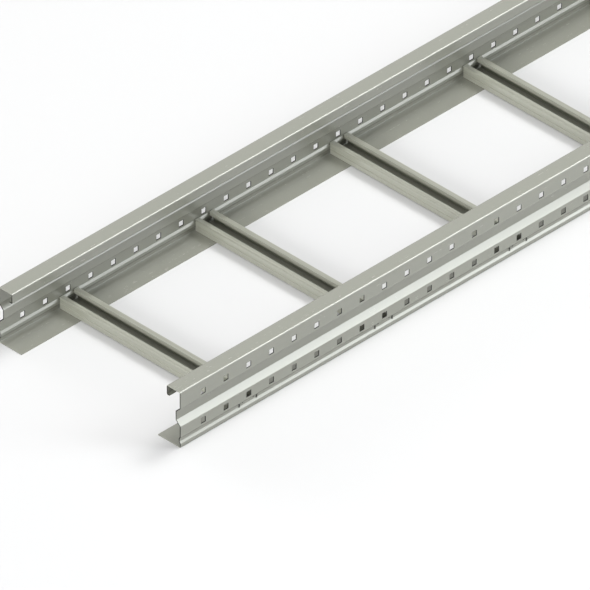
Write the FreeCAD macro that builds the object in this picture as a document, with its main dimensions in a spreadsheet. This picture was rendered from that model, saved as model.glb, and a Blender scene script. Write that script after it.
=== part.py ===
import FreeCAD, Part
import Sketcher
import math
import os

# Cable ladder section: two roll-formed side rails joined by lipped channel rungs.
# X runs along the rails, Y across the ladder and Z up. The origin is in the middle of the
# ladder, on the floor that the bottom flanges lie on. Lengths are in millimetres.

# Driving dimensions: alias, value and what it measures.
SIZES = [
    ("rung_count", 10, "number of rungs"),
    ("rung_pitch", 300, "distance between rungs"),
    ("end_length", 150, "length of rail beyond the middle of the last rung at each end"),
    ("ladder_width", 403, "width over the outer faces of the two webs"),
    ("rail_height", 106, "height of a side rail"),
    ("rail_sheet", 1.5, "sheet thickness of a side rail"),
    ("rail_bend", 0.5, "inner radius of a rail's bends except the bead's, to which the sheet adds outside"),
    ("top_flange", 30, "width of the top flange"),
    ("lip_height", 18, "height of the lip that hangs from the top flange"),
    ("lip_return", 6, "width of the fold at the foot of the lip"),
    ("bottom_flange", 50, "width of the bottom flange, which carries the rungs"),
    ("recess_height", 57.6, "height of the middle of the web's recess"),
    ("recess_flat", 16, "height of the flat back of the recess"),
    ("recess_depth", 9.1, "how far the recess steps in, with flanks at 45 degrees"),
    ("bead_height", 14, "height of the middle of the stiffening bead"),
    ("bead_flat", 4.5, "height of the flat back of the bead"),
    ("bead_depth", 2.3, "how far the bead steps in, with flanks at 30 degrees"),
    ("hole_side", 10, "side of a square hole"),
    ("hole_pitch", 50, "distance between holes along the rail"),
    ("upper_row", 84.5, "height of the middle of the upper row of holes"),
    ("lower_row", 29, "height of the middle of the lower row of holes"),
    ("rung_width", 41, "width of a rung along the rails"),
    ("rung_height", 21, "height of a rung"),
    ("rung_sheet", 2, "sheet thickness of a rung"),
    ("rung_bend", 1, "outer radius of a rung's bends except its grooves'"),
    ("rung_lip", 9.5, "width of each lip beside a rung's slot"),
    ("rung_return", 7, "height of the fold that hangs from each lip"),
    ("groove_drop", 9.5, "distance of a side wall's groove below the rung's top"),
    ("groove_flat", 3.4, "height of the flat back of that groove"),
    ("groove_depth", 0.8, "how far that groove steps in, with flanks at 45 degrees"),
    ("tab_foot", 10.7, "height of a rung tab's lower edge above the floor"),
    ("tab_height", 7, "height of a rung tab"),
    ("tab_gap", 0.2, "clearance of a tab in its slit and of a rung end from the bead"),
    ("bead_room", 1, "room that a rung end leaves above the bead for its bend"),
]

# Rise of a flank for each millimetre that it steps in.
RISE_AT_45 = 1.0
RISE_AT_30 = 1.0 / math.tan(math.radians(30))

# Counts and the rail's length, as expressions on the sheet's cells.
RUNGS = "floor(Sizes.rung_count)"
LENGTH = f"(({RUNGS} - 1) * Sizes.rung_pitch + 2 * Sizes.end_length)"
HOLES = f"(floor({LENGTH} / Sizes.hole_pitch) - 1)"

X_AXIS = 0
Y_AXIS = 1
POSITION_TOLERANCE = 1e-4

doc = FreeCAD.newDocument("cable_ladder")
sizes = doc.addObject("Spreadsheet::Sheet", "Sizes")
for row, (alias, value, note) in enumerate(SIZES, start=1):
    sizes.set(f"A{row}", str(value))
    sizes.setAlias(f"A{row}", alias)
    sizes.set(f"B{row}", note)
doc.recompute()


def number(text):
    """The present value of an expression on the sheet's cells."""
    return float(sizes.evalExpression(text))


# Sketches

def origin_feature(body, role):
    """The origin plane or axis of the body that has this role."""
    for feature in body.Origin.OriginFeatures:
        if feature.Role == role:
            return feature
    raise RuntimeError(f"{body.Label} has no {role}")


def new_sketch(body, name, plane):
    """An empty sketch on one of the body's origin planes."""
    sketch = body.newObject("Sketcher::SketchObject", name)
    sketch.AttachmentSupport = [(origin_feature(body, plane), "")]
    sketch.MapMode = "FlatFace"
    return sketch


def bind_coordinate(sketch, line, kind, text):
    """Bind the distance of a line's start point from the sketch's origin to an expression."""
    constraint = Sketcher.Constraint(kind, -1, 1, line, 1, number(text))
    index = sketch.addConstraint(constraint)
    sketch.setExpression(f"Constraints[{index}]", text)


def draw_outline(sketch, corners):
    """Draw a closed outline. Each corner is two expressions: across and up."""
    points = [FreeCAD.Vector(number(across), number(up), 0) for across, up in corners]
    first = sketch.GeometryCount
    count = len(corners)
    for index in range(count):
        edge = Part.LineSegment(points[index], points[(index + 1) % count])
        sketch.addGeometry(edge, False)
    for index in range(count):
        line = first + index
        following = first + (index + 1) % count
        sketch.addConstraint(Sketcher.Constraint("Coincident", line, 2, following, 1))
    for index, (across, up) in enumerate(corners):
        bind_coordinate(sketch, first + index, "DistanceX", across)
        bind_coordinate(sketch, first + index, "DistanceY", up)


def draw_rectangle(sketch, middle_across, middle_up, width, height):
    """Draw a rectangle from expressions for its middle and its size."""
    left = f"{middle_across} - ({width}) / 2"
    right = f"{middle_across} + ({width}) / 2"
    low = f"{middle_up} - ({height}) / 2"
    high = f"{middle_up} + ({height}) / 2"
    draw_outline(sketch, [(left, low), (right, low), (right, high), (left, high)])


# Bent sheet

def bend_sheet(path, sheet):
    """Work out a bent sheet from the path of its outer face, which has the sheet on its left.

    path is a list of (across, up, bent). It returns the closed outline of the sheet's section,
    the edges on the outside of its bends and those on the inside, as pairs of expressions.
    """
    points = [FreeCAD.Vector(number(across), number(up), 0) for across, up, bent in path]
    headings = [(b - a).normalize() for a, b in zip(points, points[1:])]
    inner_face = []
    outsides = []
    insides = []
    for index, (across, up, bent) in enumerate(path):
        before = headings[max(index - 1, 0)]
        after = headings[min(index, len(headings) - 1)]
        reach = 1 + before.dot(after)
        shift_across = -(before.y + after.y) / reach
        shift_up = (before.x + after.x) / reach
        inner = (f"{across} + {sheet} * ({shift_across:.9f})", f"{up} + {sheet} * ({shift_up:.9f})")
        inner_face.append(inner)
        if bent and before.cross(after).z > 0:
            outsides.append((across, up))
            insides.append(inner)
        elif bent:
            outsides.append(inner)
            insides.append((across, up))
    outer_face = [(across, up) for across, up, bent in path]
    return outer_face + inner_face[::-1], outsides, insides


def edges_along(shape, axis, places):
    """Names of the edges that run along an axis through the given places in the section."""
    others = [other for other in range(3) if other != axis]
    names = []
    for index, edge in enumerate(shape.Edges, start=1):
        ends = [vertex.Point for vertex in edge.Vertexes]
        if len(ends) != 2:
            continue
        if any(abs(ends[0][other] - ends[1][other]) > POSITION_TOLERANCE for other in others):
            continue
        spot = [ends[0][other] for other in others]
        for place in places:
            if all(abs(a - b) < POSITION_TOLERANCE for a, b in zip(spot, place)):
                names.append(f"Edge{index}")
    return names


def round_edges(body, axis, edges, radius):
    """Round the edges that run along an axis, each given by a pair of expressions."""
    places = [(number(across), number(up)) for across, up in edges]
    names = edges_along(body.Tip.Shape, axis, places)
    if len(names) != len(places):
        raise RuntimeError(f"{body.Label}: {len(names)} edges found for {len(places)} bends")
    base = body.Tip
    fillet = body.newObject("PartDesign::Fillet", "RoundedBends")
    fillet.Base = (base, names)
    fillet.setExpression("Radius", radius)
    doc.recompute()


# Cuts

def cut_pocket(body, sketch, depth):
    """Cut a pocket, through everything where depth is None, and check that it removed material."""
    before = body.Shape.Volume
    pocket = body.newObject("PartDesign::Pocket", f"{sketch.Name}Cut")
    pocket.Profile = sketch
    if depth is None:
        pocket.Type = "ThroughAll"
        pocket.SideType = "Symmetric"
    else:
        pocket.Type = "Length"
        pocket.setExpression("Length", depth)
    doc.recompute()
    if not body.Shape.Volume < before:
        raise RuntimeError(f"{body.Label}: {sketch.Name} cut nothing")
    return pocket


def repeat_along_rail(body, feature, pitch, count):
    """Repeat a cut along X and check that each copy removed as much as the first."""
    one_cut = feature.BaseFeature.Shape.Volume - feature.Shape.Volume
    before = feature.Shape.Volume
    pattern = body.newObject("PartDesign::LinearPattern", f"{feature.Name}Row")
    pattern.Originals = [feature]
    pattern.Direction = (origin_feature(body, "X_Axis"), [""])
    pattern.Mode = "Spacing"
    pattern.setExpression("Offset", pitch)
    pattern.setExpression("Occurrences", count)
    body.Tip = pattern
    doc.recompute()
    expected = before - one_cut * (number(count) - 1)
    if abs(body.Shape.Volume - expected) > one_cut / 100:
        raise RuntimeError(f"{body.Label}: {pattern.Name} cut the wrong amount")
    return pattern


# Side rail

def rail_path():
    """Outer face of the rail's sheet: Y inward from the web and Z up from the floor."""
    recess_rise = f"Sizes.recess_depth * {RISE_AT_45}"
    bead_rise = f"Sizes.bead_depth * {RISE_AT_30:.9f}"
    recess_top = "Sizes.recess_height + Sizes.recess_flat / 2"
    recess_foot = "Sizes.recess_height - Sizes.recess_flat / 2"
    bead_top = "Sizes.bead_height + Sizes.bead_flat / 2"
    bead_foot = "Sizes.bead_height - Sizes.bead_flat / 2"
    lip_foot = "Sizes.rail_height - Sizes.lip_height"
    return [
        ("Sizes.top_flange - Sizes.lip_return", lip_foot, False),
        ("Sizes.top_flange", lip_foot, True),
        ("Sizes.top_flange", "Sizes.rail_height", True),
        ("0", "Sizes.rail_height", True),
        ("0", f"{recess_top} + {recess_rise}", True),
        ("Sizes.recess_depth", recess_top, True),
        ("Sizes.recess_depth", recess_foot, True),
        ("0", f"{recess_foot} - {recess_rise}", True),
        ("0", f"{bead_top} + {bead_rise}", False),
        ("Sizes.bead_depth", bead_top, False),
        ("Sizes.bead_depth", bead_foot, False),
        ("0", f"{bead_foot} - {bead_rise}", False),
        ("0", "0", True),
        ("Sizes.bottom_flange", "0", False),
    ]


def row_start(pitch, count):
    """Distance from the rail's end to the first of a row that is centred on the rail."""
    return f"({LENGTH} - ({count} - 1) * {pitch}) / 2"


def tab_places():
    """Each tab as its middle measured from the rung's middle, its width and its lower edge.

    The outer pair are the rung's side walls, which are wavy by the depth of their grooves. The
    inner pair are the folds that hang from its lips, so they start where the folds end, but
    never so high that less than the sheet's thickness is left of them.
    """
    wall_width = "Sizes.rung_sheet + Sizes.groove_depth"
    wall_middle = "(Sizes.rung_width - Sizes.rung_sheet - Sizes.groove_depth) / 2"
    fold_middle = "(Sizes.rung_width + Sizes.rung_sheet) / 2 - Sizes.rung_lip"
    fold_foot = "Sizes.rail_sheet + Sizes.rung_height - Sizes.rung_return"
    highest_foot = "Sizes.tab_foot + Sizes.tab_height - Sizes.rung_sheet"
    inner_foot = f"min(max({fold_foot}; Sizes.tab_foot); {highest_foot})"
    return [(wall_middle, wall_width, "Sizes.tab_foot"), (fold_middle, "Sizes.rung_sheet", inner_foot)]


def make_rail(label, side, turn):
    """One side rail. side is -1 for the front and 1 for the back, turn is about Z in degrees."""
    body = doc.addObject("PartDesign::Body", label)
    body.Label = label
    outline, outsides, insides = bend_sheet(rail_path(), "Sizes.rail_sheet")
    section = new_sketch(body, "RailSection", "YZ_Plane")
    draw_outline(section, outline)
    rolled = body.newObject("PartDesign::Pad", "RolledLength")
    rolled.Profile = section
    rolled.setExpression("Length", LENGTH)
    doc.recompute()
    round_edges(body, X_AXIS, insides, "Sizes.rail_bend")
    round_edges(body, X_AXIS, outsides, "Sizes.rail_bend + Sizes.rail_sheet")

    squares = new_sketch(body, "SquareHoles", "XZ_Plane")
    first_hole = row_start("Sizes.hole_pitch", HOLES)
    for height in ("Sizes.upper_row", "Sizes.lower_row"):
        draw_rectangle(squares, first_hole, height, "Sizes.hole_side", "Sizes.hole_side")
    holes = cut_pocket(body, squares, "Sizes.rail_sheet * 2")
    repeat_along_rail(body, holes, "Sizes.hole_pitch", HOLES)

    slots = new_sketch(body, "TabSlits", "XZ_Plane")
    first_rung = row_start("Sizes.rung_pitch", RUNGS)
    tab_top = "Sizes.tab_foot + Sizes.tab_height"
    for middle, width, foot in tab_places():
        slit_middle = f"({foot} + {tab_top}) / 2"
        slit_width = f"{width} + 2 * Sizes.tab_gap"
        slit_height = f"{tab_top} - {foot} + 2 * Sizes.tab_gap"
        for sign in ("-", "+"):
            across = f"{first_rung} {sign} ({middle})"
            draw_rectangle(slots, across, slit_middle, slit_width, slit_height)
    slits = cut_pocket(body, slots, "Sizes.bead_depth + 2 * Sizes.rail_sheet")
    repeat_along_rail(body, slits, "Sizes.rung_pitch", RUNGS)

    body.Placement = FreeCAD.Placement(FreeCAD.Vector(), FreeCAD.Rotation(FreeCAD.Vector(0, 0, 1), turn))
    body.setExpression("Placement.Base.x", f"{LENGTH} / 2 * {side}")
    body.setExpression("Placement.Base.y", f"Sizes.ladder_width / 2 * {side}")
    return body


# Rung

def rung_path():
    """Outer face of the rung's sheet: X across the rung and Z up from its floor."""
    groove_middle = "Sizes.rung_height - Sizes.groove_drop"
    groove_top = f"{groove_middle} + Sizes.groove_flat / 2"
    groove_foot = f"{groove_middle} - Sizes.groove_flat / 2"
    groove_rise = f"Sizes.groove_depth * {RISE_AT_45}"
    half = [
        ("Sizes.rung_lip", "Sizes.rung_height - Sizes.rung_return", False),
        ("Sizes.rung_lip", "Sizes.rung_height", True),
        ("0", "Sizes.rung_height", True),
        ("0", f"{groove_top} + {groove_rise}", False),
        ("Sizes.groove_depth", groove_top, False),
        ("Sizes.groove_depth", groove_foot, False),
        ("0", f"{groove_foot} - {groove_rise}", False),
        ("0", "0", True),
    ]
    other_half = [(f"Sizes.rung_width - {across}", up, bent) for across, up, bent in half]
    return half + other_half[::-1]


def notch_outlines():
    """What a rung's end lacks, seen from the side: the notches under and over its tabs.

    Y runs along the rung from its middle and Z up from its floor. The notches clear the rail's
    bead, and the lower one clears the bend above the bottom flange too.
    """
    past_end = "Sizes.ladder_width / 2"
    notch = f"{past_end} - Sizes.rail_sheet - Sizes.bead_depth - Sizes.tab_gap"
    tab_foot = "Sizes.tab_foot - Sizes.rail_sheet"
    tab_top = f"{tab_foot} + Sizes.tab_height"
    bead_top = f"Sizes.bead_height + Sizes.bead_flat / 2 + Sizes.bead_depth * {RISE_AT_30:.9f}"
    notch_top = f"{bead_top} + Sizes.bead_room - Sizes.rail_sheet"
    below_floor = "-Sizes.rail_sheet"
    lower = [(notch, below_floor), (past_end, below_floor), (past_end, tab_foot), (notch, tab_foot)]
    upper = [(notch, tab_top), (past_end, tab_top), (past_end, notch_top), (notch, notch_top)]
    return [lower, upper]


def make_rung(label, index):
    """One rung, counted from 0 at the end with the smallest X.

    Its tabs end flush with the outer face of the rails' beads.
    """
    body = doc.addObject("PartDesign::Body", label)
    body.Label = label
    outline, outsides, insides = bend_sheet(rung_path(), "Sizes.rung_sheet")
    section = new_sketch(body, "RungSection", "XZ_Plane")
    draw_outline(section, outline)
    channel = body.newObject("PartDesign::Pad", "ChannelLength")
    channel.Profile = section
    channel.SideType = "Symmetric"
    channel.setExpression("Length", "Sizes.ladder_width - 2 * Sizes.bead_depth")
    doc.recompute()
    round_edges(body, Y_AXIS, outsides, "Sizes.rung_bend")

    notches = new_sketch(body, "EndNotches", "YZ_Plane")
    for corners in notch_outlines():
        draw_outline(notches, corners)
        draw_outline(notches, [(f"-({across})", up) for across, up in corners])
    cut_pocket(body, notches, None)

    steps = f"({index} - ({RUNGS} - 1) / 2)"
    body.setExpression("Placement.Base.x", f"{steps} * Sizes.rung_pitch - Sizes.rung_width / 2")
    body.setExpression("Placement.Base.z", "Sizes.rail_sheet")
    return body


# Assembly

pieces = [make_rail("side_rail_right", -1, 0), make_rail("side_rail_left", 1, 180)]
for index in range(int(number(RUNGS))):
    pieces.append(make_rung(f"rung_{index + 1:02d}", index))
doc.recompute()

for item in doc.Objects:
    if "Invalid" in item.State or "Error" in item.State:
        raise RuntimeError(f"{item.Label} did not recompute: {item.State}")
for piece in pieces:
    if piece.Shape.isNull() or not piece.Shape.isValid() or len(piece.Shape.Solids) != 1:
        raise RuntimeError(f"{piece.Label} is not one valid solid")

os.makedirs("parts", exist_ok=True)
for piece in pieces:
    piece.Shape.exportStep(f"parts/{piece.Label}.step")
    print(f"{piece.Label}: {piece.Shape.Volume / 1000:.1f} cubic centimetres")
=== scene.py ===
"""Finish, stage and light for the cable ladder section.

The ladder's rails and rungs come from model.glb. This file gives them galvanised steel
finishes and sets the floor, the light and the camera. X runs along the rails, Y across the
ladder and Z up, in metres.
"""

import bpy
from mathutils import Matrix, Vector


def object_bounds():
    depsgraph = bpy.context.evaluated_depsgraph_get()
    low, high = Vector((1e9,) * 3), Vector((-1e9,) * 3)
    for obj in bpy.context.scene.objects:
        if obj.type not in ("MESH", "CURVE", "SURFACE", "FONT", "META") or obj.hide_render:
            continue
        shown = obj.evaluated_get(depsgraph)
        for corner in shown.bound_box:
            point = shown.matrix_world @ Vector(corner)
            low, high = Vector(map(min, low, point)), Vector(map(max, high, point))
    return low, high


bl_info = {
    "name": "Cable Ladder Finish",
    "version": (1, 0, 0),
    "blender": (4, 5, 0),
    "location": "View3D > Sidebar > Ladder",
    "description": "Galvanised finishes, stage, light and camera for a cable ladder section",
    "category": "Object",
}

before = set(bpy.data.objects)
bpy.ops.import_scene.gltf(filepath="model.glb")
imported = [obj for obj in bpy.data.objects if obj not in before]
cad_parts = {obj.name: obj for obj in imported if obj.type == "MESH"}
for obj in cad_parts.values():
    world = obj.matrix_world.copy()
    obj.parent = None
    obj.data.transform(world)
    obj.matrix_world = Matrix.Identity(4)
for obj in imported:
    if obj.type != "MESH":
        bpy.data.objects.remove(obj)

from functools import cached_property
import math

import bpy
from mathutils import Vector

CAD_BOX = [list(corner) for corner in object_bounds()]
RAILS = sorted(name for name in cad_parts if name.startswith("side_rail"))
RUNGS = sorted(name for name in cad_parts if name.startswith("rung"))
HALF_LENGTH = CAD_BOX[1][0]

# Where the ladder's sheet is cut through, in metres. These places take a dark colour that is
# partly the bare steel of the sheared edges and partly painted shade. The webs' faces are a range
# of Y, the upright sheet is the range of Z between the rails' flanges, and HALF_RUNG is where a
# rung's tabs end.
HOLE_PITCH = 0.050
HOLE_SIDE = 0.010
HOLE_ROWS = (0.0845, 0.0290)
WEB_FACES = (0.1995, 0.2020)
UPRIGHT_SHEET = (0.0020, 0.1040)
HALF_RUNG = 0.1992
CUT_DEPTH = 0.0002

# The zinc coat's patterns. A grain packs the rolled lines by these factors along X, Y and Z.
CLOUD_NOISE = {"Scale": 9.0, "Detail": 3.0, "Roughness": 0.5}
LINE_NOISE = {"Scale": 1.0, "Detail": 3.0, "Roughness": 0.6}
NOISE_MIDDLE = 0.5
RAIL_GRAIN = (2.0, 900.0, 900.0)
RUNG_GRAIN = (300.0, 0.8, 300.0)
LINE_DEPTH = 0.00001

# The coat's plain tone, and what each pattern adds to it and to the roughness.
PLAIN_TONE = 0.965
CRYSTAL_TONE = 0.015
CLOUD_TONE = 0.05
CRYSTAL_DULLNESS = 0.015
LINE_DULLNESS = 0.03
CUT_DULLNESS = 0.3

# Soft patches of light in the sky: degrees from X toward Y, degrees above the horizon,
# strength, and sharpness, which narrows a patch.
SKY_PATCHES = (
    (190, 18, 32.0, 60.0),
    (200, 60, 2.5, 20.0),
    (90, 12, 5.0, 20.0),
    (140, 45, 1.6, 60.0),
    (270, 80, 2.2, 20.0),
    (345, 35, 0.6, 20.0),
    (335, 48, 4.0, 60.0),
    (0, 55, 18.0, 60.0),
    (45, 35, 0.8, 30.0),
)

# Where the camera's view begins and ends, as shares of its distance from the ladder.
CLIP_NEAR = 0.1
CLIP_FAR = 3.0

# The sockets of a Mix node that serve when it mixes colours.
MIX_FACTOR = 0
MIX_FIRST = 6
MIX_SECOND = 7
MIX_RESULT = 2


def linear(red, green, blue):
    """A colour as a designer reads it off a screen, 0 to 255, in Blender's linear light."""
    channels = [value / 255 for value in (red, green, blue)]
    return [c / 12.92 if c <= 0.04045 else ((c + 0.055) / 1.055) ** 2.4 for c in channels]


def opaque(colour):
    """A colour with full alpha, as a colour socket takes it."""
    return (*colour, 1.0)


# Shader maths

class Signal:
    """A socket of a shader node, or a plain number, that can be added and multiplied."""

    def __init__(self, shader, value):
        self.shader = shader
        self.value = value

    def math(self, operation, *others):
        """This value and the others through one Math node."""
        inputs = {index: other for index, other in enumerate((self, *others))}
        return self.shader.node("ShaderNodeMath", {"operation": operation}, inputs)

    def __add__(self, other):
        return self.math("ADD", other)

    def __radd__(self, other):
        return self.math("ADD", other)

    def __sub__(self, other):
        return self.math("SUBTRACT", other)

    def __rsub__(self, other):
        return Signal(self.shader, other).math("SUBTRACT", self)

    def __mul__(self, other):
        return self.math("MULTIPLY", other)

    def __rmul__(self, other):
        return self.math("MULTIPLY", other)

    def absolute(self):
        """The value without its sign."""
        return self.math("ABSOLUTE")

    def above(self, limit):
        """1 where the value is over the limit and 0 elsewhere."""
        return self.math("GREATER_THAN", limit)

    def between(self, low, high):
        """1 where the value is between two limits and 0 elsewhere."""
        return self.above(low) - self.above(high)

    def larger(self, other):
        """The larger of two values."""
        return self.math("MAXIMUM", other)


class Shader:
    """The nodes of one material, or of the world."""

    def __init__(self, owner, surface="Principled BSDF"):
        self.owner = owner
        owner.use_nodes = True
        self.tree = owner.node_tree
        self.surface = self.tree.nodes[surface]

    @cached_property
    def place(self):
        """Where a point of the surface is, in metres."""
        return self.node("ShaderNodeTexCoord", {}, {}, "Object")

    @cached_property
    def direction(self):
        """The direction in which a point of the world's sky lies, one unit long."""
        return self.node("ShaderNodeTexCoord", {}, {}, "Generated")

    def feed(self, socket, value):
        """Set a socket to a plain value, or link it to a signal."""
        if isinstance(value, Signal):
            value = value.value
        if isinstance(value, bpy.types.NodeSocket):
            self.tree.links.new(value, socket)
        else:
            socket.default_value = value

    def node(self, kind, settings, inputs, output=0):
        """A new node of this kind, with its settings made first and its sockets fed after."""
        node = self.tree.nodes.new(kind)
        for name, value in settings.items():
            setattr(node, name, value)
        for name, value in inputs.items():
            self.feed(node.inputs[name], value)
        return Signal(self, node.outputs[output])

    def axis(self, name):
        """One coordinate of the surface's place: X, Y or Z."""
        return self.node("ShaderNodeSeparateXYZ", {}, {"Vector": self.place}, name)

    def stretched(self, scale):
        """The surface's place with each axis scaled by itself, so that a pattern is drawn out."""
        return self.node("ShaderNodeMapping", {}, {"Vector": self.place, "Scale": scale})

    def noise(self, vector, inputs):
        """Cloudy noise from 0 to 1."""
        return self.node("ShaderNodeTexNoise", {}, {"Vector": vector, **inputs}, "Fac")

    def crystals(self, vector, scale):
        """A random value from 0 to 1 for each cell of a broken pattern."""
        cells = self.node("ShaderNodeTexVoronoi", {}, {"Vector": vector, "Scale": scale}, "Color")
        return self.node("ShaderNodeSeparateColor", {}, {"Color": cells}, "Red")

    def grey(self, level):
        """A colour with as much red and green as blue."""
        inputs = {"Red": level, "Green": level, "Blue": level}
        return self.node("ShaderNodeCombineColor", {}, inputs)

    def blend(self, factor, first, second, mode="MIX"):
        """One colour mixed with another."""
        settings = {"data_type": "RGBA", "blend_type": mode}
        inputs = {MIX_FACTOR: factor, MIX_FIRST: first, MIX_SECOND: second}
        return self.node("ShaderNodeMix", settings, inputs, MIX_RESULT)

    def set(self, **values):
        """Feed the surface's own sockets, with _ for a space in a name."""
        for name, value in values.items():
            self.feed(self.surface.inputs[name.replace("_", " ")], value)

    def bump(self, height, distance):
        """Raise the surface by a height from 0 to 1 times a distance in metres."""
        inputs = {"Height": height, "Distance": distance}
        self.set(Normal=self.node("ShaderNodeBump", {}, inputs))


# What a user may change

class LadderFinish(bpy.types.PropertyGroup):
    rail_colour: bpy.props.FloatVectorProperty(
        name="Rail Colour", description="Zinc coat of the side rails", subtype="COLOR",
        size=3, min=0.0, max=1.0, default=linear(137, 138, 128))
    rung_colour: bpy.props.FloatVectorProperty(
        name="Rung Colour", description="Zinc coat of the rungs, a little lighter", subtype="COLOR",
        size=3, min=0.0, max=1.0, default=linear(145, 146, 134))
    # The cut colour is partly the bare steel of sheared edges and partly painted shade: it is
    # darkened to stand in for shade on the rails' upright ends and hole walls.
    cut_and_shade_colour: bpy.props.FloatVectorProperty(
        name="Cut And Shade Colour", description="Bare sheared edges of the sheet", subtype="COLOR",
        size=3, min=0.0, max=1.0, default=linear(32, 32, 30))
    metal_share: bpy.props.FloatProperty(
        name="Metal Share", description="How metallic the weathered zinc still looks",
        default=0.1, min=0.0, max=1.0)
    coat_ior: bpy.props.FloatProperty(
        name="Coat IOR", description="Refractive index of the dull coat, high for a bright sheen",
        default=1.8, min=1.0, max=3.0)
    rail_roughness: bpy.props.FloatProperty(
        name="Rail Roughness", description="How dull the rails are", default=0.24, min=0.0, max=1.0)
    rung_roughness: bpy.props.FloatProperty(
        name="Rung Roughness", description="How dull the rungs are", default=0.28, min=0.0, max=1.0)
    rail_lines: bpy.props.FloatProperty(
        name="Rail Lines", description="How strongly the rolled lines show in the rails' tone",
        default=0.03, min=0.0, max=1.0)
    rung_lines: bpy.props.FloatProperty(
        name="Rung Lines", description="How strongly the rolled lines show in the rungs' tone",
        default=0.7, min=0.0, max=1.0)
    spangle_size: bpy.props.FloatProperty(
        name="Spangle Size", description="Width of the zinc coat's crystals", unit="LENGTH",
        default=0.006, min=0.001)


class LadderStage(bpy.types.PropertyGroup):
    floor_size: bpy.props.FloatProperty(
        name="Floor Size", description="Side of the floor", unit="LENGTH", default=60.0)
    floor_colour: bpy.props.FloatVectorProperty(
        name="Floor Colour", description="Pale neutral tone of the floor", subtype="COLOR",
        size=3, min=0.0, max=1.0, default=(0.59, 0.59, 0.59))
    floor_roughness: bpy.props.FloatProperty(
        name="Floor Roughness", description="How dull the floor is", default=0.9, min=0.0, max=1.0)
    picture_width: bpy.props.FloatProperty(
        name="Picture Width", description="Width that the picture takes in at its middle",
        unit="LENGTH", default=0.9236)
    lens_angle: bpy.props.FloatProperty(
        name="Lens Angle", description="Field of view, narrow so that the view is nearly parallel",
        unit="ROTATION", default=math.radians(1.4))
    azimuth: bpy.props.FloatProperty(
        name="Azimuth", description="Turn of the camera about the ladder, 0 looking along Y",
        unit="ROTATION", default=math.radians(-45))
    elevation: bpy.props.FloatProperty(
        name="Elevation", description="Height of the camera above the horizon", unit="ROTATION",
        default=math.atan(1 / math.sqrt(2)))
    look_at: bpy.props.FloatVectorProperty(
        name="Look At", description="Point in the middle of the picture", subtype="XYZ",
        unit="LENGTH", size=3, default=(-1.1429, -0.0962, 0.0607))
    key_strength: bpy.props.FloatProperty(
        name="Key Light", description="Power of the tall soft light", default=220.0, min=0.0)
    key_colour: bpy.props.FloatVectorProperty(
        name="Key Colour", description="Tint of the tall soft light, a little cool",
        subtype="COLOR", size=3, min=0.0, max=1.0, default=(0.95, 0.985, 1.0))
    key_width: bpy.props.FloatProperty(
        name="Key Width", description="Width of the tall soft light", unit="LENGTH", default=2.2)
    key_height: bpy.props.FloatProperty(
        name="Key Height", description="Height of the tall soft light", unit="LENGTH", default=5.0)
    key_distance: bpy.props.FloatProperty(
        name="Key Distance", description="Distance of the tall soft light from the Look At point",
        unit="LENGTH", default=6.0)
    key_azimuth: bpy.props.FloatProperty(
        name="Key Azimuth", description="Direction of the tall soft light, from X toward Y",
        unit="ROTATION", default=math.radians(-49))
    key_elevation: bpy.props.FloatProperty(
        name="Key Elevation", description="Angle of the tall soft light above the horizon",
        unit="ROTATION", default=math.radians(24))
    sky_strength: bpy.props.FloatProperty(
        name="Sky", description="Brightness of the whole sky", default=1.0, min=0.0)
    fill_strength: bpy.props.FloatProperty(
        name="Fill", description="Even light between the sky's patches", default=0.02, min=0.0)


# Finishes

def paint(nodes, material):
    """Give every material slot of these nodes one material."""
    for name in nodes:
        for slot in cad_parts[name].material_slots:
            slot.material = material


def zinc(shader, finish, colour, roughness, grain, line_tone, cut):
    """A dull zinc coat with faint crystals, a cloudy tone and rolled lines along the sheet.

    line_tone is how strongly the lines show. cut is 1 on the sheared edges of the sheet, which
    have lost their coat, and 0 elsewhere. The dark colour laid there is partly bare steel and
    partly painted shade.
    """
    crystals = shader.crystals(shader.place, 1 / finish.spangle_size)
    clouds = shader.noise(shader.place, CLOUD_NOISE)
    lines = shader.noise(shader.stretched(grain), LINE_NOISE)
    tone = PLAIN_TONE + CRYSTAL_TONE * crystals + CLOUD_TONE * clouds
    tone = tone + line_tone * (lines - NOISE_MIDDLE)
    coat = shader.blend(1.0, opaque(colour), shader.grey(tone), "MULTIPLY")
    dullness = roughness + CRYSTAL_DULLNESS * crystals + LINE_DULLNESS * lines
    shader.set(
        Base_Color=shader.blend(cut, coat, opaque(finish.cut_and_shade_colour)),
        Metallic=finish.metal_share + (1 - finish.metal_share) * cut,
        IOR=finish.coat_ior,
        Roughness=dullness + CUT_DULLNESS * cut)
    shader.bump(lines, LINE_DEPTH)


def rail_cut_and_shade_mask(shader):
    """1 on the ends of the rails' upright sheet and on the walls of their holes, 0 elsewhere.

    The ends of the flanges are left out and keep the coat's tone. Where the mask is 1, the dark
    colour is partly bare steel and partly painted shade.
    """
    along = shader.axis("X").absolute()
    across = shader.axis("Y").absolute()
    up = shader.axis("Z")
    ends = along.above(HALF_LENGTH - CUT_DEPTH) * up.between(*UPRIGHT_SHEET)
    reach = HOLE_SIDE / 2 + CUT_DEPTH
    from_column = along.math("PINGPONG", HOLE_PITCH / 2)
    past_last_column = along.above(HALF_LENGTH - HOLE_PITCH / 2)
    columns = (1.0 - from_column.above(reach)) * (1.0 - past_last_column)
    upper_row, lower_row = [up.between(row - reach, row + reach) for row in HOLE_ROWS]
    holes = columns * upper_row.larger(lower_row) * across.between(*WEB_FACES)
    return ends.larger(holes)


class LADDER_OT_finish_rails(bpy.types.Operator):
    """Give both side rails their rolled and galvanised finish"""
    bl_idname = "ladder.finish_rails"
    bl_label = "Finish Side Rails"

    def execute(self, context):
        finish = context.scene.ladder_finish
        shader = Shader(bpy.data.materials.new("rail_zinc"))
        zinc(shader, finish, finish.rail_colour, finish.rail_roughness, RAIL_GRAIN,
             finish.rail_lines, rail_cut_and_shade_mask(shader))
        paint(RAILS, shader.owner)
        return {"FINISHED"}


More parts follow.
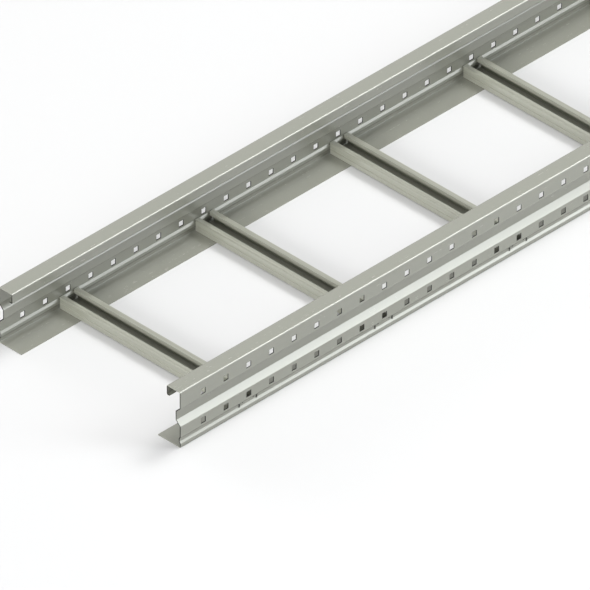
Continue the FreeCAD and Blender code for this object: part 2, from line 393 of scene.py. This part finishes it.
class LADDER_OT_finish_rungs(bpy.types.Operator):
    """Give the rungs their finish, with fine lines along the strip"""
    bl_idname = "ladder.finish_rungs"
    bl_label = "Finish Rungs"

    def execute(self, context):
        finish = context.scene.ladder_finish
        shader = Shader(bpy.data.materials.new("rung_zinc"))
        ends = shader.axis("Y").absolute().above(HALF_RUNG - CUT_DEPTH)
        zinc(shader, finish, finish.rung_colour, finish.rung_roughness, RUNG_GRAIN,
             finish.rung_lines, ends)
        paint(RUNGS, shader.owner)
        return {"FINISHED"}


# Stage

def direction_of(azimuth, elevation):
    """The direction at these angles from X toward Y and above the horizon."""
    level = math.cos(elevation)
    return Vector((math.cos(azimuth) * level, math.sin(azimuth) * level, math.sin(elevation)))


def lay_floor(stage):
    """The pale floor that the ladder lies on."""
    bpy.ops.object.select_all(action="DESELECT")
    bpy.ops.mesh.primitive_plane_add(size=stage.floor_size, location=(0, 0, 0))
    floor = bpy.context.object
    floor.name = "floor"
    shader = Shader(bpy.data.materials.new("pale_floor"))
    shader.set(
        Base_Color=opaque(stage.floor_colour),
        Roughness=stage.floor_roughness,
        Specular_IOR_Level=0.0)
    floor.data.materials.append(shader.owner)


def light_sky(stage):
    """A sky of soft round patches of light over a faint even fill."""
    world = bpy.data.worlds.new("studio_sky")
    bpy.context.scene.world = world
    shader = Shader(world, "Background")
    light = stage.fill_strength
    for azimuth, elevation, strength, sharpness in SKY_PATCHES:
        middle = direction_of(math.radians(azimuth), math.radians(elevation))
        settings = {"operation": "DOT_PRODUCT"}
        inputs = {0: shader.direction, 1: middle}
        nearness = shader.node("ShaderNodeVectorMath", settings, inputs, "Value")
        light = light + strength * nearness.larger(0.0).math("POWER", sharpness)
    shader.set(Color=shader.grey(light), Strength=stage.sky_strength)


def add_key_light(stage):
    """The tall soft light that brightens the bends and flanks turned toward it."""
    direction = direction_of(stage.key_azimuth, stage.key_elevation)
    location = Vector(stage.look_at) + direction * stage.key_distance
    bpy.ops.object.light_add(type="AREA", location=location)
    key = bpy.context.object
    key.name = "key_light"
    key.rotation_euler = direction.to_track_quat("Z", "Y").to_euler()
    key.data.shape = "RECTANGLE"
    key.data.size = stage.key_width
    key.data.size_y = stage.key_height
    key.data.energy = stage.key_strength
    key.data.color = stage.key_colour


def aim_camera(stage):
    """A camera so far off that its view is nearly parallel, as in the picture."""
    back = direction_of(stage.azimuth - math.pi / 2, stage.elevation)
    distance = stage.picture_width / 2 / math.tan(stage.lens_angle / 2)
    bpy.ops.object.camera_add(location=Vector(stage.look_at) + back * distance)
    camera = bpy.context.object
    camera.name = "camera"
    camera.rotation_euler = back.to_track_quat("Z", "Y").to_euler()
    camera.data.lens_unit = "FOV"
    camera.data.angle = stage.lens_angle
    camera.data.clip_start = distance * CLIP_NEAR
    camera.data.clip_end = distance * CLIP_FAR
    bpy.context.scene.camera = camera


class LADDER_OT_set_stage(bpy.types.Operator):
    """Lay the pale floor, light it softly and aim the camera"""
    bl_idname = "ladder.set_stage"
    bl_label = "Set Stage"

    def execute(self, context):
        stage = context.scene.ladder_stage
        lay_floor(stage)
        light_sky(stage)
        add_key_light(stage)
        aim_camera(stage)
        context.scene.view_settings.view_transform = "Standard"
        return {"FINISHED"}


class LADDER_PT_panel(bpy.types.Panel):
    """Sidebar panel that lists the ladder's finishes and stage"""
    bl_idname = "LADDER_PT_panel"
    bl_label = "Cable Ladder"
    bl_space_type = "VIEW_3D"
    bl_region_type = "UI"
    bl_category = "Ladder"

    def draw(self, context):
        column = self.layout.column()
        for group in (context.scene.ladder_finish, context.scene.ladder_stage):
            for name in group.__annotations__:
                column.prop(group, name)
        for operator in OPERATORS:
            column.operator(operator.bl_idname)


OPERATORS = (LADDER_OT_finish_rails, LADDER_OT_finish_rungs, LADDER_OT_set_stage)
CLASSES = (LadderFinish, LadderStage, *OPERATORS, LADDER_PT_panel)


def register():
    for entry in CLASSES:
        bpy.utils.register_class(entry)
    bpy.types.Scene.ladder_finish = bpy.props.PointerProperty(type=LadderFinish)
    bpy.types.Scene.ladder_stage = bpy.props.PointerProperty(type=LadderStage)


def unregister():
    del bpy.types.Scene.ladder_stage
    del bpy.types.Scene.ladder_finish
    for entry in reversed(CLASSES):
        bpy.utils.unregister_class(entry)


def main():
    """Make everything in order."""
    register()
    bpy.ops.ladder.finish_rails()
    bpy.ops.ladder.finish_rungs()
    bpy.ops.ladder.set_stage()


if __name__ == "__main__":
    main()
